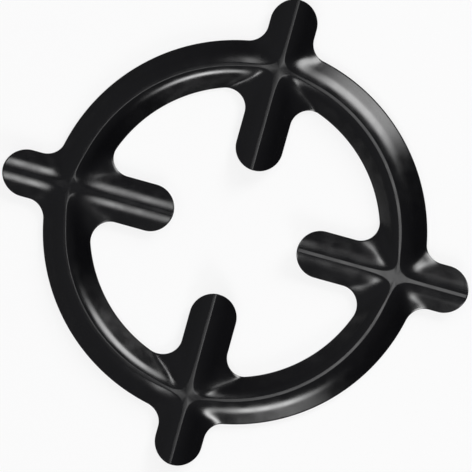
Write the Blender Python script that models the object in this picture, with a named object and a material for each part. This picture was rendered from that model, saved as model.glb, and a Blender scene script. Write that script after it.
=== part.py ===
"""Reducer ring for a gas hob burner: one pressed sheet-steel ring with four arms, enamelled black.

Run it in Blender, from the text editor or with blender --background --python part.py. Sizes are in
metres, +Z is up, the arms lie along X and Y, and the ring stands on the plane Z = 0.
"""

from math import cos, pi, radians, sin, tan

import bmesh
import bpy
import numpy as np

# Outline seen from above, which comes to 145 mm from tip to tip
RIDGE_RADIUS = 0.0505
OUTER_WIDTH = 0.00755
INNER_WIDTH = 0.00685
ARM_HALF = 0.00725
FILLET = 0.0057
RIDGE_FILLET = 0.0033
OUTER_STRAIGHT = 0.00283
INNER_STRAIGHT = 0.00912

# Section from the flat pan seat on the ridge down one side to the cut edge
SEAT_HALF = 0.00035
SHOULDER_RADIUS = 0.0012
STRAIGHT_FLANK = 0.0032

# Slopes at the end of the shoulder and on the straight flank. The ring leans inwards
ARM_SHOULDER = radians(14.5)
ARM_FLANK = radians(32.5)
OUTER_SHOULDER = radians(18)
OUTER_FLANK = radians(35.5)
INNER_SHOULDER = radians(25)
INNER_FLANK = radians(43)

# Sheet with its enamel
SHEET = 0.001
EDGE_ROUND = 0.0003
EDGE_ANGLE = radians(50)
MERGE = 1e-6

# Divisions of the mesh
ARMS = 4
LEG_STEPS = 16
FILLET_STEPS = 8
BEND_STEPS = 3
TIP_STEPS = 5
EDGE_STEPS = 2

ENAMEL_COLOUR = (0.012, 0.012, 0.013, 1.0)
ENAMEL_ROUGHNESS = 0.18

SECTOR = 2 * pi / ARMS
ARM_SECTION = (ARM_HALF, ARM_SHOULDER, ARM_FLANK)
RING_SECTION = {1: (OUTER_WIDTH, OUTER_SHOULDER, OUTER_FLANK), -1: (INNER_WIDTH, INNER_SHOULDER, INNER_FLANK)}


def clear_scene():
    for old in list(bpy.data.objects):
        bpy.data.objects.remove(old, do_unlink=True)


def enamel():
    """Glossy black vitreous enamel."""
    material = bpy.data.materials.new("black_enamel")
    material.use_nodes = True
    shader = material.node_tree.nodes["Principled BSDF"]
    shader.inputs["Base Color"].default_value = ENAMEL_COLOUR
    shader.inputs["Roughness"].default_value = ENAMEL_ROUGHNESS
    shader.inputs["Metallic"].default_value = 0.0
    return material


def fall(level, section):
    """How far the sheet has dropped at a share of the way from the ridge line to the cut edge.

    It is flat over the seat, turns down on the shoulder arc, bends on along a wide arc and ends straight.
    """
    width, shoulder_slope, flank_slope = section
    seat = SEAT_HALF * width / ARM_HALF
    bend_from = seat + SHOULDER_RADIUS * sin(shoulder_slope)
    bend_to = width - STRAIGHT_FLANK
    bend_radius = (bend_to - bend_from) / (sin(flank_slope) - sin(shoulder_slope))
    on_shoulder = np.clip(level * width, seat, bend_from) - seat
    on_bend = np.clip(level * width, bend_from, bend_to) - bend_from + bend_radius * sin(shoulder_slope)
    on_straight = np.maximum(level * width - bend_to, 0.0)
    shoulder = SHOULDER_RADIUS - np.sqrt(SHOULDER_RADIUS**2 - on_shoulder**2)
    bend = bend_radius * cos(shoulder_slope) - np.sqrt(bend_radius**2 - on_bend**2)
    return shoulder + bend + on_straight * tan(flank_slope)


def levels():
    """Shares of the half width at which the section has points, from the seat's edge to the cut edge."""
    bend_from = SEAT_HALF + SHOULDER_RADIUS * sin(ARM_SHOULDER)
    bend = np.linspace(bend_from, ARM_HALF - STRAIGHT_FLANK, BEND_STEPS + 1)
    return np.concatenate([[SEAT_HALF], bend, [ARM_HALF]]) / ARM_HALF


def corner(level, side):
    """A level line where ring and arm meet, outside (side 1) or inside (side -1) the ring.

    A level line is the outline drawn closer to the ridge: a circle, a line and a fillet between them,
    with the same share of the width, and a fillet that is tighter towards the ridge. Returns the
    circle's radius, the fillet's radius, its centre x and y, and the angle at which it leaves the circle.
    """
    width = OUTER_WIDTH if side > 0 else INNER_WIDTH
    circle = RIDGE_RADIUS + side * level * width
    radius = RIDGE_FILLET + level * (FILLET - RIDGE_FILLET)
    reach = circle + side * radius
    centre_y = level * ARM_HALF + radius
    return circle, radius, np.sqrt(reach**2 - centre_y**2), centre_y, np.arcsin(centre_y / reach)


def points(x, y, drop):
    return np.stack([x, y, -drop], axis=-1)


def fillet_patch(side):
    """Rows of points where a side of the ring turns into an arm's, easing from one section to the other."""
    level = levels()[:, None]
    turn = np.linspace(0.0, 1.0, FILLET_STEPS + 1)[None, :]
    _, radius, centre_x, centre_y, tangent = corner(level, side)
    first = pi + tangent if side > 0 else tangent
    last = 1.5 * pi if side > 0 else -0.5 * pi
    angle = first + (last - first) * turn
    ease = turn**2 * (3.0 - 2.0 * turn)
    drop = (1.0 - ease) * fall(level, RING_SECTION[side]) + ease * fall(level, ARM_SECTION)
    return points(centre_x + radius * np.cos(angle), centre_y + radius * np.sin(angle), drop)


def ring_patch():
    """The ring between two arms, in rows from its inner cut edge over the ridge to its outer one."""
    halves = []
    for side, level in ((-1, levels()[::-1, None]), (1, levels()[:, None])):
        circle, _, _, _, tangent = corner(level, side)
        along = np.linspace(0.0, 1.0, LEG_STEPS + 1)[None, :]
        angle = tangent + (SECTOR - 2 * tangent) * along
        drop = fall(level, RING_SECTION[side]) + np.zeros_like(angle)
        halves.append(points(circle * np.cos(angle), circle * np.sin(angle), drop))
    return np.concatenate(halves)


def arm_end(side):
    """Outlines of an arm's flat strips past its fillets, outside or inside the ring, cut round at the tip."""
    level = levels()
    across = level * ARM_HALF
    _, _, root, _, _ = corner(level, side)
    straight = OUTER_STRAIGHT if side > 0 else INNER_STRAIGHT
    tip_centre = root[-1] + side * straight
    tip = tip_centre + side * np.sqrt(np.maximum(ARM_HALF**2 - across**2, 0.0))
    crown = tip_centre + side * ARM_HALF
    around = np.linspace(np.arcsin(level[-2]), pi / 2, TIP_STEPS + 1)[1:-1]
    round_x = tip_centre + side * ARM_HALF * np.cos(around)
    round_y = ARM_HALF * np.sin(around)
    seat_x = np.array([root[0], tip[0], crown, tip[0], root[0]])
    seat_y = across[0] * np.array([-1.0, -1.0, 0.0, 1.0, 1.0])
    strips = [points(seat_x, seat_y, np.zeros_like(seat_x))]
    for i in range(len(level) - 1):
        last = i == len(level) - 2
        x = np.concatenate([[root[i], tip[i]], round_x if last else [], [tip[i + 1], root[i + 1]]])
        y = np.concatenate([[across[i]] * 2, round_y if last else [], [across[i + 1]] * 2])
        drop = fall(y / ARM_HALF, ARM_SECTION)
        strips.append(points(x, y, drop))
        strips.append(points(x, -y, drop)[::-1])
    return strips if side > 0 else [strip[::-1] for strip in strips]


def cells(rows, flip=False):
    """The corners of every cell of a grid of points, turned round if flip is set."""
    quads = np.stack([rows[:-1, :-1], rows[1:, :-1], rows[1:, 1:], rows[:-1, 1:]], axis=2)
    quads = quads[:, :, ::-1] if flip else quads
    return list(quads.reshape(-1, 4, 3))


def sector():
    """Every face between one arm and the next: the arm, its crossing with the ring, and the ring between."""
    outer, inner = fillet_patch(1), fillet_patch(-1)
    mirror = np.array([1.0, -1.0, 1.0])
    faces = cells(ring_patch()) + arm_end(1) + arm_end(-1)
    faces += cells(outer, flip=True) + cells(outer * mirror)
    faces += cells(inner) + cells(inner * mirror, flip=True)
    seat = [outer[0, ::-1], inner[0], inner[0, ::-1] * mirror, outer[0] * mirror]
    faces.append(np.concatenate(seat))
    return faces


def pressed_face():
    """The upper face of the whole pressing: a sector for each arm, with the corners they share merged."""
    build = bmesh.new()
    for arm in range(ARMS):
        c, s = cos(arm * SECTOR), sin(arm * SECTOR)
        turn = np.array([[c, s, 0.0], [-s, c, 0.0], [0.0, 0.0, 1.0]])
        for face in sector():
            build.faces.new([build.verts.new(point) for point in face @ turn])
    bmesh.ops.remove_doubles(build, verts=build.verts, dist=MERGE)
    mesh = bpy.data.meshes.new("reducer_ring")
    build.to_mesh(mesh)
    build.free()
    return mesh


def give_thickness(ring):
    """The sheet below its pressed face, with the cut edge rounded as the enamel leaves it."""
    sheet = ring.modifiers.new("sheet", "SOLIDIFY")
    sheet.thickness = SHEET
    sheet.offset = -1.0
    sheet.use_even_offset = True
    edge = ring.modifiers.new("edge", "BEVEL")
    edge.width = EDGE_ROUND
    edge.segments = EDGE_STEPS
    edge.limit_method = "ANGLE"
    edge.angle_limit = EDGE_ANGLE
    edge.use_clamp_overlap = False


def set_down(ring):
    """Lifts the mesh so that the finished sheet's lowest point is on Z = 0."""
    bpy.context.view_layer.update()
    finished = ring.evaluated_get(bpy.context.evaluated_depsgraph_get()).to_mesh()
    lowest = min(vertex.co.z for vertex in finished.vertices)
    for vertex in ring.data.vertices:
        vertex.co.z -= lowest


clear_scene()
ring = bpy.data.objects.new("reducer_ring", pressed_face())
bpy.context.scene.collection.objects.link(ring)
ring.data.materials.append(enamel())
ring.data.shade_smooth()
give_thickness(ring)
set_down(ring)
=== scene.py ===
# %% [markdown]
# # A reducer ring for a gas hob
#
# The ring stands on the pan support of a gas burner, so that a small pot doesn't tip on the wide
# grate. It is one blank of sheet steel, pressed into a gutter that is open underneath, with four arms
# across the ring, and dipped in black glass enamel that is fired until it flows.
#
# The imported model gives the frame: its corners tell how far the tips reach and how high the pans sit.
# Everything below is measured in metres, in that frame.

# %% Load the frame
import math

import bmesh
import bpy
import numpy as np
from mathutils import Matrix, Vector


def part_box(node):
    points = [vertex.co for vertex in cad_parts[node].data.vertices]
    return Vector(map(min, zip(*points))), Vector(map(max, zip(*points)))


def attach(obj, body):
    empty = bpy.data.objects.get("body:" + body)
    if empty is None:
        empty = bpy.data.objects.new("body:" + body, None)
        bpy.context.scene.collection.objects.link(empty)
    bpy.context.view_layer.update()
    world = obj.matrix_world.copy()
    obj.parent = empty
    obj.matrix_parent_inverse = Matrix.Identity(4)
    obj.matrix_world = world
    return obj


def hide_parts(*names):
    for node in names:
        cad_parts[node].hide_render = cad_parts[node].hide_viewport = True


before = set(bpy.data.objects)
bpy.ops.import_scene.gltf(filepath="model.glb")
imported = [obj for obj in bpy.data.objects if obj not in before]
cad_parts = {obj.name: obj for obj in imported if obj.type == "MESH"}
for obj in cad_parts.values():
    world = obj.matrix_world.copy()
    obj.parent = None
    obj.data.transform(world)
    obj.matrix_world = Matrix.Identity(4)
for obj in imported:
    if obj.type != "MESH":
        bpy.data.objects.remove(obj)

scene = bpy.context.scene
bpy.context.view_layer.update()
ring_low, ring_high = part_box("reducer_ring")
TIP_REACH = ring_high[0]
SEAT_HEIGHT = ring_high[2]
print(f"tips reach {TIP_REACH * 1000:.2f} mm from the middle, pans sit at {SEAT_HEIGHT * 1000:.3f} mm")

# %% [markdown]
# ## The sizes of the pressing
#
# Seen from above, the outline is a ring crossed by four arms with round ends, and a fillet in each of
# the corners. The ridge line runs along the middle of them all, and the sheet falls away to both sides.

# %% Outline
RIDGE_RADIUS = 0.0505
OUTER_WIDTH = 0.00755
INNER_WIDTH = 0.00685
ARM_HALF = 0.00725
FILLET = 0.0057
RIDGE_FLARE = 0.0102
INNER_STRAIGHT = 0.00912
ARMS = 4
SECTOR = 2 * math.pi / ARMS
print(f"the ring is {(OUTER_WIDTH + INNER_WIDTH) * 1000:.2f} mm wide, an arm {2 * ARM_HALF * 1000:.2f} mm")

# %% [markdown]
# ## The section
#
# Cut through an arm, the sheet is flat on its ridge, where the pan sits, turns down round a shoulder,
# bends on along the flank and runs straight to the cut edge. The ring leans inwards: its inner flank is
# steeper than an arm's and its outer one flatter. A spline through a few points could draw all this,
# but arcs and lines keep the radii that the press tool really has.

# %% Drop of the sheet away from the ridge
SEAT_HALF = 0.00035
SHOULDER_RADIUS = 0.0012
OUTER = {"half": OUTER_WIDTH, "straight": 0.0032, "shoulder": math.radians(18), "flank": math.radians(35.5)}
INNER = {"half": INNER_WIDTH, "straight": 0.0038, "shoulder": math.radians(22), "flank": math.radians(42)}
ARM = {"half": ARM_HALF, "straight": 0.0032, "shoulder": math.radians(14.5), "flank": math.radians(32.5)}


def fall(level, section):
    """Drop below the seat at a share of the half width: shoulder arc plus bend arc plus straight flank."""
    half, first, last = section["half"], section["shoulder"], section["flank"]
    seat = SEAT_HALF * half / ARM_HALF
    bend_from, bend_to = seat + SHOULDER_RADIUS * math.sin(first), half - section["straight"]
    radius = (bend_to - bend_from) / (math.sin(last) - math.sin(first))
    on_shoulder = np.clip(level * half, seat, bend_from) - seat
    on_bend = np.clip(level * half, bend_from, bend_to) - bend_from + radius * math.sin(first)
    on_straight = np.maximum(level * half - bend_to, 0.0)
    shoulder = SHOULDER_RADIUS - np.sqrt(SHOULDER_RADIUS**2 - on_shoulder**2)
    bend = radius * math.cos(first) - np.sqrt(radius**2 - on_bend**2)
    return shoulder + bend + on_straight * math.tan(last)


for name, section in (("outer ring", OUTER), ("inner ring", INNER), ("arm", ARM)):
    print(f"{name} edge: {fall(np.array(1.0), section) * 1000:.2f} mm below the ridge")

# %% [markdown]
# ## Rows from the seat to the edge
#
# The surface is made of grids. One direction of a grid runs along the metal, the other across it. The
# rows across are close together where the section bends. Near the edge they close up again, because the
# round end of an arm cuts them off one by one, and points at even angles round that end need rows at
# the sines of those angles. The last band along the cut edge stays one face wide, which gives the
# rounding of the edge its room.

# %% Rows as shares of the half width
EDGE_BAND = 0.00045
SHOULDER_ROWS = 6
FLANK_ROWS = 14
TIP_ROWS = 8
TIP_FROM = math.radians(58)

inset = ARM_HALF - EDGE_BAND
shoulder_rows = SEAT_HALF + np.linspace(0.0, SHOULDER_RADIUS * math.sin(INNER["shoulder"]), SHOULDER_ROWS + 1)
flank_rows = np.linspace(shoulder_rows[-1], inset * math.sin(TIP_FROM), FLANK_ROWS + 1)[1:]
tip_rows = inset * np.sin(np.linspace(TIP_FROM, math.pi / 2, TIP_ROWS + 1)[1:])
LEVEL = (np.concatenate([shoulder_rows, flank_rows, tip_rows, [ARM_HALF]]) / ARM_HALF)[:, None]
print(f"{len(LEVEL)} rows on each side of the ridge")

# %% [markdown]
# ## Level lines where ring and arm meet
#
# The hard part of the real tool is the crossing, where two ridges run into each other on fillets. Each
# level line is the outline drawn closer to the ridge: a circle, a straight line and a fillet between
# them. The first two keep the same share of their distance, and the fillet grows wider towards the
# ridge, because a ridge can't turn as sharply as a cut edge can.

# %% One level line


def level_line(level, side):
    """Circle radius, fillet radius, fillet centre and tangent angle for a share of the width.

    side is 1 outside the ring and -1 inside. The fillet's centre is a fillet radius away from both the
    circle and the line, so its distance along the arm is the root of reach squared less height squared.
    """
    circle = RIDGE_RADIUS + side * level * (OUTER_WIDTH if side > 0 else INNER_WIDTH)
    radius = RIDGE_FLARE + level * (FILLET - RIDGE_FLARE)
    reach = circle + side * radius
    centre_y = level * ARM_HALF + radius
    return circle, radius, np.sqrt(reach**2 - centre_y**2), centre_y, np.arcsin(centre_y / reach)


outer_root = float(level_line(1.0, 1)[2])
inner_root = float(level_line(1.0, -1)[2])
TIP_CENTRE = {1: TIP_REACH - ARM_HALF, -1: inner_root - INNER_STRAIGHT}
print(f"an arm's fillets end at {inner_root * 1000:.2f} and {outer_root * 1000:.2f} mm")

# %% [markdown]
# ## An off-centre ridge
#
# The blank lay a little off centre in the press, so the ridge isn't quite in the middle of the metal:
# round the ring it is moved to one side, and on each arm it has an offset of its own. A level line
# moves most at the ridge and not at all near the cut edge, so the outline keeps its form. The arms of
# the blank are a few tenths of a millimetre beside their places too, and there a whole arm moves.

# %% Slide of the ridge
# The arms are listed anticlockwise from +X, outside the ring (1) and inside it (-1)
RING_SLIDE = (-0.00092, -0.00024)
ARM_SLIDE = {1: (-0.0004, 0.0005, 0.0001, -0.0010), -1: (-0.0004, 0.0007, 0.00015, -0.0013)}
ARM_SHIFT = (0.00034, -0.00023, -0.00034, 0.00044)
INSET_LEVEL = inset / ARM_HALF


def share(level):
    """What a level line keeps of the slide: 1 - level / inset level, and nothing from the inset on."""
    return np.maximum(1.0 - level / INSET_LEVEL, 0.0)


def slide_at(quarter):
    """The ring's slide in the directions of one arm: along it and to its left."""
    c, s = math.cos(quarter * SECTOR), math.sin(quarter * SECTOR)
    return c * RING_SLIDE[0] + s * RING_SLIDE[1], c * RING_SLIDE[1] - s * RING_SLIDE[0]


def grid(x, y, drop):
    """Points x, y and seat height less drop, as one array of rows and columns."""
    return np.stack(np.broadcast_arrays(x, y, SEAT_HEIGHT - drop), axis=-1)


print(f"round the ring the ridge lies {math.hypot(*RING_SLIDE) * 1000:.2f} mm off the middle of the metal")
print("the arms lie", [round(shift * 1000, 2) for shift in ARM_SHIFT], "mm to the left of their places")

# %% [markdown]
# ## The patches of one arm
#
# Ring, fillets, arm, the band along an arm's edge and the band round its tip are each a function of the
# level and of the place along it. hand is 1 on the left of an arm and -1 on its right.

# %% The ring between two arms
LEG_STEPS = 48


def ring_leg(quarter, side):
    """Ring from this arm to the next: angles from one tangent point to the other on circles."""
    circle, _, _, _, tangent = level_line(LEVEL, side)
    angle = tangent + (SECTOR - 2 * tangent) * np.linspace(0.0, 1.0, LEG_STEPS + 1)
    along, left = slide_at(quarter)
    x = circle * np.cos(angle) + share(LEVEL) * along
    y = circle * np.sin(angle) + share(LEVEL) * left
    return grid(x, y, fall(LEVEL, OUTER if side > 0 else INNER))


print("rows and columns of a leg:", ring_leg(0, 1).shape[:2])

# %% [markdown]
# ## The fillets
#
# An arc joins on to a straight line with a jump in its curvature, and black enamel shows that jump as a
# kink in every highlight. At the cut edge an arc is right, because the blanking tool was turned. On the
# pressed face it changes into a cubic curve that starts and ends without curvature. Across the fillet
# the ring's section turns into the arm's, and in between both shoulders melt away: there the sheet
# starts to fall gently, is steepest halfway and flattens again, since it was stretched round the corner.
# The seat sinks there too, by a tenth of a millimetre, so that the crossing has no hard outline.

# %% Fillet between ring and arm
FILLET_STEPS = 24
SOFT_REACH = 0.8
SOFT_EDGE = 0.6
SOFTNESS = 0.55
STAR_DIP = 0.0001
ARC_POWER = 2.0
EASE_SKEW = 0.61


def bend(level, side, turn):
    """x and y of the corner between ring and arm, for a share of the way from one to the other.

    At the cut edge it is an arc about the fillet's centre. Towards the ridge it becomes a cubic curve
    with both its handles in the corner of the two tangents, which starts and ends without curvature.
    """
    _, radius, centre_x, centre_y, tangent = level_line(level, side)
    first = math.pi + tangent if side > 0 else tangent
    last = 1.5 * math.pi if side > 0 else -0.5 * math.pi
    angle = first + (last - first) * turn
    corner_x = centre_x - side * radius * np.tan(np.abs(last - first) / 2)
    near, middle, far = (1.0 - turn)**3, 3.0 * turn * (1.0 - turn), turn**3
    soft_x = near * (centre_x + radius * np.cos(first)) + middle * corner_x + far * centre_x
    soft_y = near * (centre_y + radius * np.sin(first)) + (middle + far) * level * ARM_HALF
    arc = level**ARC_POWER
    x = arc * (centre_x + radius * np.cos(angle)) + (1.0 - arc) * soft_x
    return x, arc * (centre_y + radius * np.sin(angle)) + (1.0 - arc) * soft_y


def crossing_fall(level, edge):
    """Drop in the middle of a fillet, down to a given edge: a smooth step plus a square, with no shoulder."""
    way = np.maximum(level * ARM_HALF - SEAT_HALF, 0.0) / (ARM_HALF - SEAT_HALF)
    step = np.minimum(way / SOFT_REACH, 1.0)
    return edge * ((1.0 - SOFT_EDGE) * step**2 * (3.0 - 2.0 * step) + SOFT_EDGE * way**2)


def fillet(quarter, side, hand):
    """Corner between ring and arm: drop and slide are eased from the ring's to the arm's on a smooth step.

    Halfway, where 4 t (1 - t) is 1, a share of the drop is the crossing's own, and the seat is sunk by
    an amount that fades with (1 - level)^2.
    """
    turn = np.linspace(0.0, 1.0, FILLET_STEPS + 1)
    ease = (turn**2 * (3.0 - 2.0 * turn))**EASE_SKEW
    along, left = slide_at(quarter)
    left = (1.0 - ease) * left + ease * ARM_SLIDE[side][quarter]
    x, y = bend(LEVEL, side, turn)
    drop = (1.0 - ease) * fall(LEVEL, OUTER if side > 0 else INNER) + ease * fall(LEVEL, ARM)
    middle = 4.0 * turn * (1.0 - turn)
    soft = SOFTNESS * middle**2
    drop = (1.0 - soft) * drop + soft * crossing_fall(LEVEL, drop[-1:])
    drop = drop + STAR_DIP * middle**6 * (1.0 - LEVEL)**2
    left = share(LEVEL) * left + ease * ARM_SHIFT[quarter]
    return grid(x + share(LEVEL) * along, hand * y + left, drop)


deepest = fillet(0, 1, 1)[-1, :, 2].min()
print(f"the edge of a fillet is {(SEAT_HEIGHT - deepest) * 1000:.2f} mm below the ridge at its lowest point")

# %% [markdown]
# ## The arms
#
# An arm is straight, so its grid runs along it, and each row ends on a circle just inside the round tip.
# A band as wide as the inset closes it, along the straight edges and round the tip.

# %% Arm and its edge bands
ARM_STEPS = 14


def arm_start(quarter, side, level):
    """Where a level line leaves its fillet, along the arm."""
    return level_line(level, side)[2] + share(level) * slide_at(quarter)[0]


def arm(quarter, side, hand):
    """Arm past its fillets: straight lines from the fillet's end to the circle inside the round tip."""
    level = LEVEL[:-1]
    across = hand * level * ARM_HALF + share(level) * ARM_SLIDE[side][quarter]
    end = TIP_CENTRE[side] + side * np.sqrt(np.maximum(inset**2 - across**2, 0.0))
    start = arm_start(quarter, side, level)
    x = start + (end - start) * np.linspace(0.0, 1.0, ARM_STEPS + 1)
    return grid(x, across + ARM_SHIFT[quarter], fall(level, ARM))


def arm_band(quarter, side, hand):
    """Band along the straight cut edge of an arm, from the fillet's end to where the round tip starts."""
    level = LEVEL[-2:]
    start = arm_start(quarter, side, level)
    x = start + (TIP_CENTRE[side] - start) * np.linspace(0.0, 1.0, ARM_STEPS + 1)
    return grid(x, hand * level * ARM_HALF + ARM_SHIFT[quarter], fall(level, ARM))


def tip_band(quarter, side, hand):
    """Band round the tip: an inner and an outer arc, with points where the rows of the arm end.

    On the outer arc the level is found from the place across the arm, the slide undone.
    """
    slide = ARM_SLIDE[side][quarter]
    across = hand * LEVEL[:-1].T * ARM_HALF + share(LEVEL[:-1].T) * slide
    angle = np.arcsin(np.clip(across / inset, -1.0, 1.0))
    radius = np.array([[inset], [ARM_HALF]])
    across = radius * np.sin(angle)
    level = (across - slide) / (hand * ARM_HALF - slide / INSET_LEVEL)
    level = np.where(np.abs(across) < inset, level, np.abs(across) / ARM_HALF)
    x = TIP_CENTRE[side] + side * radius * np.cos(angle)
    return grid(x, across + ARM_SHIFT[quarter], fall(level, ARM))


print("rows and columns:", {make.__name__: make(0, 1, 1).shape[:2] for make in (arm, arm_band, tip_band)})

# %% [markdown]
# ## The flat seat
#
# Between the first rows of the two sides lies the seat, flat along the ridges. At the crossing it widens
# to a star, which dips a little towards the fillets: a fan of triangles from a middle at the height of
# the seat, and strips where its points run out along the four ridges.

# %% Seat and crossing


def seat_strips(quarter, side):
    """Strips between the first rows of an arm's two sides, as far as the tip's inner arc and past it."""
    arms = [arm(quarter, side, hand)[0] for hand in (1, -1)]
    tips = [tip_band(quarter, side, hand)[:, 0] for hand in (1, -1)]
    return [np.stack(arms), np.stack(tips)]


def crossing(quarter):
    """Strips along the four ridges that meet, and a fan from the middle of the star between them."""
    rims = {(side, hand): fillet(quarter, side, hand)[0] for side in (1, -1) for hand in (1, -1)}
    part = FILLET_STEPS // 3
    along_ring = [np.stack([rims[1, hand][:part + 1], rims[-1, hand][:part + 1]]) for hand in (1, -1)]
    along_arm = [np.stack([rims[side, 1][-part - 1:], rims[side, -1][-part - 1:]]) for side in (1, -1)]
    star = {corner: rim[part:-part] for corner, rim in rims.items()}
    rim = np.concatenate([star[1, 1][::-1], star[-1, 1], star[-1, -1][::-1], star[1, -1], star[1, 1][-1:]])
    middle = rim[:-1].mean(axis=0)
    middle[2] = rim[:, 2].max()
    return along_ring + along_arm + [np.stack([middle + np.zeros_like(rim), rim])]


def one_arm(quarter):
    """Every grid of an arm, and of the ring from it to the next one."""
    legs = [ring_leg(quarter, 1), ring_leg(quarter, -1)]
    grids = legs + [np.stack([legs[1][0], legs[0][0]])] + crossing(quarter)
    for side in (1, -1):
        grids += seat_strips(quarter, side)
        for make in (fillet, arm, arm_band, tip_band):
            grids += [make(quarter, side, 1), make(quarter, side, -1)]
    return grids


print(f"{len(one_arm(0))} grids for each arm")

# %% [markdown]
# ## The whole upper face
#
# The grids are turned to the four arms, each face is made to point up, and points that neighbours share
# are merged, which also closes the fans.

# %% Join the grids
MERGE = 1e-6


def cells(points):
    """Index quads of a grid, turned round as a whole if they would face down."""
    count, across = points.shape[:2]
    index = np.arange(count * across).reshape(count, across)
    quads = np.stack([index[:-1, :-1], index[1:, :-1], index[1:, 1:], index[:-1, 1:]], axis=-1).reshape(-1, 4)
    corner = points.reshape(-1, 3)[quads]
    one, other = corner[:, 2] - corner[:, 0], corner[:, 3] - corner[:, 1]
    facing = np.sum(one[:, 0] * other[:, 1] - one[:, 1] * other[:, 0])
    return quads if facing > 0 else quads[:, ::-1]


def turned(quarter):
    """The grids of one arm, turned about the middle of the ring by a number of sectors."""
    c, s = math.cos(quarter * SECTOR), math.sin(quarter * SECTOR)
    turn = np.array([[c, s, 0.0], [-s, c, 0.0], [0.0, 0.0, 1.0]])
    return [rows @ turn for rows in one_arm(quarter)]


def mesh_of(name, grids):
    """One mesh from grids of points, with points closer than MERGE made one."""
    starts = np.cumsum([0] + [points.shape[0] * points.shape[1] for points in grids[:-1]])
    quads = np.concatenate([cells(points) + start for points, start in zip(grids, starts)])
    mesh = bpy.data.meshes.new(name)
    mesh.from_pydata(np.concatenate([points.reshape(-1, 3) for points in grids]), [], quads.tolist())
    work = bmesh.new()
    work.from_mesh(mesh)
    bmesh.ops.remove_doubles(work, verts=work.verts, dist=MERGE)
    work.to_mesh(mesh)
    work.free()
    mesh.shade_smooth()
    return mesh


upper_face = [points for quarter in range(ARMS) for points in turned(quarter)]
pressing = bpy.data.objects.new("enamelled_ring", mesh_of("enamelled_ring", upper_face))
scene.collection.objects.link(pressing)
print(f"{len(pressing.data.vertices)} points and {len(pressing.data.polygons)} faces on the upper side")

# %% [markdown]
# ## Thickness and rounded edges
#
# Solidify grows the sheet downwards from the upper face, and Bevel rounds both rims of the cut edge, as
# the enamel does when it draws back from a sharp corner. The sheet has to be thinner than the radius of
# the shoulder, or the underside would fold over itself there.

# %% Sheet and edge
EDGE_SEGMENTS = 4
EDGE_ANGLE = math.radians(50)
SHEET = 0.00095
EDGE_ROUND = 0.00018
sheet = pressing.modifiers.new("sheet", "SOLIDIFY")
sheet.thickness = SHEET
sheet.offset = -1.0
sheet.use_even_offset = True
edge = pressing.modifiers.new("edge", "BEVEL")
edge.width = EDGE_ROUND
edge.segments = EDGE_SEGMENTS
edge.limit_method = "ANGLE"
edge.angle_limit = EDGE_ANGLE
edge.use_clamp_overlap = False
bpy.context.view_layer.update()
finished = pressing.evaluated_get(bpy.context.evaluated_depsgraph_get()).to_mesh()
print(f"{len(finished.polygons)} faces with the underside and the rounded edge")
print(f"the lowest point is {min(vertex.co.z for vertex in finished.vertices) * 1000:.2f} mm above the floor")

# %% [markdown]
# ## Black glass enamel
#
# Vitreous enamel is coloured glass fired on steel. It is nearly black, so almost all that is seen of it
# is the mirror image of the lights, softened by its skin. One roughness value would give a plastic
# look. The real skin has relief of several sizes: it sags in slow waves as it flows, shrinks to an
# orange peel, keeps a fine tooth from the sprayed powder, and gas leaves a pit here and there.
#
# Each relief is a texture in the piece's own coordinates, in metres, with its height in metres too, so
# that its slopes are the real ones: a few tenths of a degree.

# %% Enamel sizes
ENAMEL_COLOUR = (0.0030, 0.0030, 0.0036, 1.0)
SPECK_COLOUR = (0.020, 0.020, 0.024, 1.0)
ENAMEL_IOR = 1.5
SMOOTH_SKIN, DULL_SKIN = 0.14, 0.20
GLASS_WIDTH, THICK_GLASS, THIN_GLASS = 0.0045, 0.35, 0.65
RELIEF = {"flow": (0.009, 1.6e-5), "peel": (0.0022, 2.2e-6), "tooth": (0.0004, 2.5e-7)}
PIT_CELL, PIT_RADIUS, PIT_DEPTH, PIT_SHARE = 0.0016, 0.00011, 8e-6, 0.12
SPECK_CELL, SPECK_RADIUS, SPECK_SHARE = 0.0011, 0.00008, 0.10
for relief, (width, height) in RELIEF.items():
    slope = math.degrees(3 * height / width)
    print(f"{relief}: waves {width * 1000:.1f} mm wide, slopes about {slope:.2f} degrees")

# %% [markdown]
# ## Helpers for shader nodes
#
# A material is a tree of nodes, and every node is made in the same few steps: add it, set what it does,
# link what it takes in. Three small functions do that, for a node in general, for a value stretched
# from one range to another and for two values worked into one.

# %% Nodes


def node_of(tree, kind, **values):
    """A new node with its named properties set."""
    node = tree.nodes.new(kind)
    for name, value in values.items():
        setattr(node, name, value)
    return node


def ramp(tree, value, low, high, **values):
    """A value stretched from the range low to the range high, each given as a pair."""
    step = node_of(tree, "ShaderNodeMapRange", **values)
    step.inputs["From Min"].default_value, step.inputs["From Max"].default_value = low
    step.inputs["To Min"].default_value, step.inputs["To Max"].default_value = high
    tree.links.new(value, step.inputs["Value"])
    return step.outputs[0]


def combined(tree, operation, one, other, **values):
    """The product, difference or greater of two values."""
    both = node_of(tree, "ShaderNodeMath", operation=operation, **values)
    tree.links.new(one, both.inputs[0])
    tree.links.new(other, both.inputs[1])
    return both.outputs[0]


print("helpers:", node_of.__name__, ramp.__name__, combined.__name__)

# %% [markdown]
# ## Waves and dots
#
# A relief is smooth noise whose scale is one over the width of a wave. Pits and specks are dots: in a
# Voronoi pattern each cell has one point and a random colour, so a dot is the part of a cell near its
# point, and the random colour picks the few cells that get one.

# %% Waves and dots


def waves(tree, place, width):
    """Smooth noise from 0 to 1 with waves of about this width."""
    noise = node_of(tree, "ShaderNodeTexNoise")
    noise.inputs["Scale"].default_value = 1.0 / width
    noise.inputs["Detail"].default_value = 2.0
    tree.links.new(place, noise.inputs["Vector"])
    return noise.outputs["Fac"]


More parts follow.
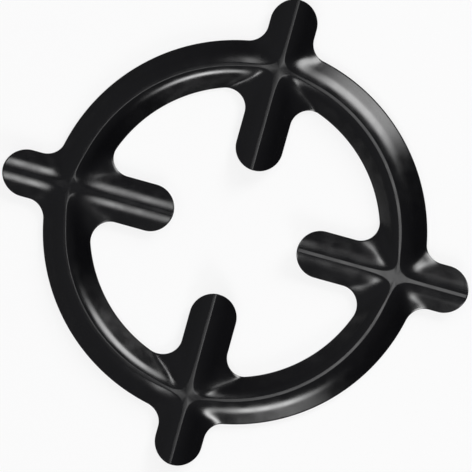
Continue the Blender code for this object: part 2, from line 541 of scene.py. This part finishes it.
def dots(tree, place, cell, radius, part):
    """1 at the middle of a dot, 0 from its radius outwards, for a part of the cells."""
    cells_of = node_of(tree, "ShaderNodeTexVoronoi")
    cells_of.inputs["Scale"].default_value = 1.0 / cell
    tree.links.new(place, cells_of.inputs["Vector"])
    distance = cells_of.outputs["Distance"]
    near = ramp(tree, distance, (0.0, radius / cell), (1.0, 0.0), interpolation_type="SMOOTHSTEP")
    split = node_of(tree, "ShaderNodeSeparateColor")
    tree.links.new(cells_of.outputs["Color"], split.inputs[0])
    picked = node_of(tree, "ShaderNodeMath", operation="LESS_THAN")
    picked.inputs[1].default_value = part
    tree.links.new(split.outputs[0], picked.inputs[0])
    return combined(tree, "MULTIPLY", near, picked.outputs[0])


def relief_on(tree, height, depth, below=None, inwards=False):
    """Bump whose height is a value from 0 to 1 times a depth in metres, on top of an earlier bump."""
    bump = node_of(tree, "ShaderNodeBump", invert=inwards)
    bump.inputs["Strength"].default_value = 1.0
    bump.inputs["Distance"].default_value = depth
    tree.links.new(height, bump.inputs["Height"])
    if below:
        tree.links.new(below, bump.inputs["Normal"])
    return bump.outputs["Normal"]


pit_area = math.pi * (PIT_RADIUS / PIT_CELL)**2
print(f"a pit takes {pit_area:.1%} of its cell, and {PIT_SHARE:.0%} of the cells have one")

# %% [markdown]
# ## The enamel itself
#
# The reliefs are stacked from the widest to the finest, the pits last. How dull the skin is changes in
# slow waves of its own, because thick glass flows out smoother than thin. A few light mineral grains
# are fired into the glass.

# %% Enamel material


def enamel():
    """Black glass with its relief, its changing dullness and its grains."""
    material = bpy.data.materials.new("black_enamel")
    material.use_nodes = True
    tree = material.node_tree
    shader = tree.nodes["Principled BSDF"]
    shader.inputs["IOR"].default_value = ENAMEL_IOR
    place = node_of(tree, "ShaderNodeTexCoord").outputs["Object"]
    normal = None
    for width, height in RELIEF.values():
        normal = relief_on(tree, waves(tree, place, width), height, normal)
    pits = dots(tree, place, PIT_CELL, PIT_RADIUS, PIT_SHARE)
    normal = relief_on(tree, pits, PIT_DEPTH, normal, inwards=True)
    tree.links.new(normal, shader.inputs["Normal"])
    glass = waves(tree, place, GLASS_WIDTH)
    skin = ramp(tree, glass, (THICK_GLASS, THIN_GLASS), (SMOOTH_SKIN, DULL_SKIN))
    tree.links.new(skin, shader.inputs["Roughness"])
    tint = node_of(tree, "ShaderNodeMix", data_type="RGBA")
    tint.inputs["A"].default_value = ENAMEL_COLOUR
    tint.inputs["B"].default_value = SPECK_COLOUR
    specks = dots(tree, place, SPECK_CELL, SPECK_RADIUS, SPECK_SHARE)
    tree.links.new(specks, tint.inputs["Factor"])
    tree.links.new(tint.outputs["Result"], shader.inputs["Base Color"])
    print(f"{material.name}: {len(tree.nodes)} nodes")
    return material


pressing.data.materials.append(enamel())
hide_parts("reducer_ring")
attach(pressing, "root")

# %% [markdown]
# ## Camera
#
# The ring is seen from straight above, turned so that its arms lean a sixth of a right angle, from far
# enough for the sides to look almost parallel. A long lens 1.2 m away does that. The cut edge draws the
# outline, so the scale of the picture is set at its height.

# %% Camera
PICTURE = 472
METRES_PER_PIXEL = 0.00030146
EDGE_HEIGHT = 0.0015
CAMERA_DISTANCE = 1.2
SENSOR = 0.036
ROLL = math.radians(15.53)
RING_MIDDLE = (235.05, 232.2)


def seen(right, up):
    """World x and y of a step to the right and up in the picture."""
    c, s = math.cos(ROLL), math.sin(ROLL)
    return np.array([c * right - s * up, s * right + c * up])


lens = bpy.data.cameras.new("camera")
lens.sensor_width = SENSOR * 1000
lens.lens = SENSOR * 1000 * CAMERA_DISTANCE / (PICTURE * METRES_PER_PIXEL)
camera = bpy.data.objects.new("camera", lens)
scene.collection.objects.link(camera)
right, up = PICTURE / 2 - RING_MIDDLE[0], RING_MIDDLE[1] - PICTURE / 2
aim = seen(right * METRES_PER_PIXEL, up * METRES_PER_PIXEL)
camera.location = (aim[0], aim[1], EDGE_HEIGHT + CAMERA_DISTANCE)
camera.rotation_euler = (0.0, 0.0, ROLL)
scene.camera = camera
print(f"a {lens.lens:.0f} mm lens, {CAMERA_DISTANCE} m above the ring")

# %% [markdown]
# ## Floor
#
# A plain white floor. Most of the white that is seen of it, by the camera or as a mirror image, is its
# own, so that the background stays even. The rest is lit by the lamps and so keeps the ring's shadow.

# %% Floor
FLOOR_SIZE = 20.0
FLOOR_GLOW = 0.8
FLOOR_PAINT = (0.9, 0.9, 0.9, 1.0)
WHITE = (1.0, 1.0, 1.0, 1.0)


def white_floor():
    """Matt paint, mixed with a glow of its own for rays from the camera, mirrors and glass."""
    material = bpy.data.materials.new("white_floor")
    material.use_nodes = True
    tree = material.node_tree
    tree.nodes.clear()
    path = node_of(tree, "ShaderNodeLightPath")
    direct = path.outputs["Is Camera Ray"]
    for kind in ("Is Glossy Ray", "Is Transmission Ray"):
        direct = combined(tree, "MAXIMUM", direct, path.outputs[kind])
    own = node_of(tree, "ShaderNodeMath", operation="MULTIPLY")
    own.inputs[1].default_value = FLOOR_GLOW
    tree.links.new(direct, own.inputs[0])
    glow = node_of(tree, "ShaderNodeEmission")
    glow.inputs["Color"].default_value = WHITE
    lit = node_of(tree, "ShaderNodeBsdfDiffuse")
    lit.inputs["Color"].default_value = FLOOR_PAINT
    mix = node_of(tree, "ShaderNodeMixShader")
    tree.links.new(own.outputs[0], mix.inputs["Fac"])
    tree.links.new(lit.outputs[0], mix.inputs[1])
    tree.links.new(glow.outputs[0], mix.inputs[2])
    tree.links.new(mix.outputs[0], node_of(tree, "ShaderNodeOutputMaterial").inputs["Surface"])
    return material


def floor_mesh():
    """One square with its middle under the ring."""
    half = FLOOR_SIZE / 2
    corners = [(-half, -half, 0.0), (half, -half, 0.0), (half, half, 0.0), (-half, half, 0.0)]
    mesh = bpy.data.meshes.new("floor")
    mesh.from_pydata(corners, [], [(0, 1, 2, 3)])
    return mesh


floor = bpy.data.objects.new("floor", floor_mesh())
scene.collection.objects.link(floor)
floor.data.materials.append(white_floor())
print(f"a floor {FLOOR_SIZE:.0f} m wide, {FLOOR_GLOW:.0%} of its white its own")

# %% [markdown]
# ## Lamps that fade to their rims
#
# A softbox has its flash in the middle, so its cloth is brightest there, and a mirror image of it has
# soft ends. A plain area lamp is even and ends in a hard line. Its Parametric output runs from 0 to 1
# across its face both ways. Folded about a half, it is the distance from the nearer end.

# %% Fade towards the rim


def fade(tree, place, rim):
    """Smooth step from 0 at both ends of a coordinate to 1 over a share rim of its half."""
    folded = node_of(tree, "ShaderNodeMath", operation="PINGPONG")
    folded.inputs[1].default_value = 0.5
    tree.links.new(place, folded.inputs[0])
    return ramp(tree, folded.outputs[0], (0.0, rim / 2), (0.0, 1.0), interpolation_type="SMOOTHSTEP")


def fade_rim(lamp, rim):
    """Lets the lamp's face fade to its four sides: the product of one fade each way."""
    lamp.use_nodes = True
    tree = lamp.node_tree
    split = node_of(tree, "ShaderNodeSeparateXYZ")
    tree.links.new(node_of(tree, "ShaderNodeNewGeometry").outputs["Parametric"], split.inputs[0])
    each_way = [fade(tree, split.outputs[axis], rim) for axis in ("X", "Y")]
    tree.links.new(combined(tree, "MULTIPLY", *each_way), tree.nodes["Emission"].inputs["Strength"])


SOFT_RIM = 0.7
print(f"a lamp fades over {SOFT_RIM:.0%} of its half width, unless another share is given")

# %% [markdown]
# ## Lights
#
# A black glossy thing is lit by what it mirrors. Two softboxes stand round the ring, one behind it to
# the right and one in front. A small panel hangs over the right half for the ridge. Two narrow strips,
# one in front and one behind, stand so that the left arm's flanks mirror them and the right arm's don't:
# they draw the bright bands along the left arm. The fill lights the floor and the matt share of the
# enamel, and shows in no reflection.
#
# A lamp is placed by two angles, because a slope in the enamel mirrors whatever stands at twice its
# angle from straight up. Its power follows from the brightness that its mirror image should have.

# %% Softboxes
LAMP_DISTANCE = 2.0
WATTS_PER_RADIANCE = math.pi**2 / 2


def softbox(name, seen_at, zenith, wide, high, radiance, distance=LAMP_DISTANCE, rim=SOFT_RIM):
    """An area lamp that faces the middle of the ring.

    seen_at is its angle in the picture and zenith its angle from straight up; wide and high are the
    angles that it spans, all in degrees as seen from the ring.
    """
    turn, tilt = math.radians(seen_at) + ROLL, math.radians(zenith)
    lamp = bpy.data.lights.new(name, "AREA")
    lamp.shape = "RECTANGLE"
    lamp.size = 2 * distance * math.tan(math.radians(wide) / 2)
    lamp.size_y = 2 * distance * math.tan(math.radians(high) / 2)
    lamp.energy = radiance * lamp.size * lamp.size_y * WATTS_PER_RADIANCE
    fade_rim(lamp, rim)
    box = bpy.data.objects.new(name, lamp)
    scene.collection.objects.link(box)
    outwards = distance * math.sin(tilt)
    box.location = (outwards * math.cos(turn), outwards * math.sin(turn), distance * math.cos(tilt))
    box.rotation_euler = (tilt, 0.0, turn + math.pi / 2)
    box.visible_camera = False
    return box


softbox("softbox_right", 45, 59, 39, 31, 7.6)
softbox("softbox_front", 281.5, 62.5, 39, 22, 10.6, rim=0.95)
softbox("ceiling", -16, 5.5, 36, 13.5, 2.1, distance=1.0, rim=0.8)
softbox("strip_front", 248.5, 45.5, 8, 30, 8.6, rim=1.0)
softbox("strip_back", 80.5, 45.5, 8, 30, 8.6, rim=1.0)
fill = softbox("fill", 200, 20, 60, 60, 0.5)
fill.visible_glossy = False

# %% [markdown]
# ## Walls
#
# The studio's walls are a dome that glows grey and shows only in reflections. Its glow is painted light that
# stands in for lit felt walls. It is a little lighter on the left, where the room is open, and darker at the
# foot, a painted shade where the walls meet the floor.

# %% Dome
WALL_RADIUS = 4.0
WALL_COLUMNS, WALL_ROWS = 48, 12
# Painted light: the walls glow, brighter on the left than on the right, and a painted shade dims them towards
# the foot
LEFT_GLOW = 0.30
RIGHT_GLOW = 0.09
FOOT_PAINTED_SHADE = 0.12
WALL_GLOW_TINT = (0.95, 0.95, 1.0, 1.0)


def dome_mesh():
    """Half sphere: x and y are the radius times the tilt's sine, turned, and z is it times the cosine."""
    turn = np.linspace(0.0, 2 * math.pi, WALL_COLUMNS + 1)[None, :]
    tilt = np.linspace(0.0, math.pi / 2, WALL_ROWS + 1)[:, None]
    x, y = WALL_RADIUS * np.sin(tilt) * np.cos(turn), WALL_RADIUS * np.sin(tilt) * np.sin(turn)
    rows = np.stack(np.broadcast_arrays(x, y, WALL_RADIUS * np.cos(tilt)), axis=-1)
    return mesh_of("studio_walls", [rows])


def wall_glow():
    """Glow of painted light that changes from the left wall to the right one, less a painted shade that grows
    towards the foot.
    """
    material = bpy.data.materials.new("glowing_walls")
    material.use_nodes = True
    tree = material.node_tree
    tree.nodes.clear()
    place = node_of(tree, "ShaderNodeTexCoord").outputs["Object"]
    along = node_of(tree, "ShaderNodeVectorMath", operation="DOT_PRODUCT")
    along.inputs[1].default_value = (*seen(1.0, 0.0), 0.0)
    tree.links.new(place, along.inputs[0])
    across = (-WALL_RADIUS, WALL_RADIUS)
    tone = ramp(tree, along.outputs["Value"], across, (LEFT_GLOW, RIGHT_GLOW), interpolation_type="SMOOTHSTEP")
    high = node_of(tree, "ShaderNodeSeparateXYZ")
    tree.links.new(place, high.inputs[0])
    # Painted shade: the walls' glow is made dimmer towards the foot
    painted_foot_shade = ramp(tree, high.outputs["Z"], (0.0, WALL_RADIUS), (FOOT_PAINTED_SHADE, 0.0))
    glow = node_of(tree, "ShaderNodeEmission")
    glow.inputs["Color"].default_value = WALL_GLOW_TINT
    tree.links.new(combined(tree, "SUBTRACT", tone, painted_foot_shade, use_clamp=True), glow.inputs["Strength"])
    tree.links.new(glow.outputs[0], node_of(tree, "ShaderNodeOutputMaterial").inputs["Surface"])
    material.cycles.emission_sampling = "NONE"
    return material


walls = bpy.data.objects.new("studio_walls", dome_mesh())
scene.collection.objects.link(walls)
walls.data.materials.append(wall_glow())
walls.visible_camera = False
print(f"walls {WALL_RADIUS:.0f} m away, from {LEFT_GLOW} on the left to {RIGHT_GLOW} on the right")

# %% [markdown]
# ## Backdrop
#
# Past the floor the world is the white of a backdrop. The walls hide it from the ring, so it gives no
# light. The Standard view shows a brightness of 1 as white.

# %% World and view
world = bpy.data.worlds.new("white_backdrop")
scene.world = world
world.use_nodes = True
world.node_tree.nodes["Background"].inputs["Color"].default_value = WHITE
scene.view_settings.view_transform = "Standard"
print("view:", scene.view_settings.view_transform)
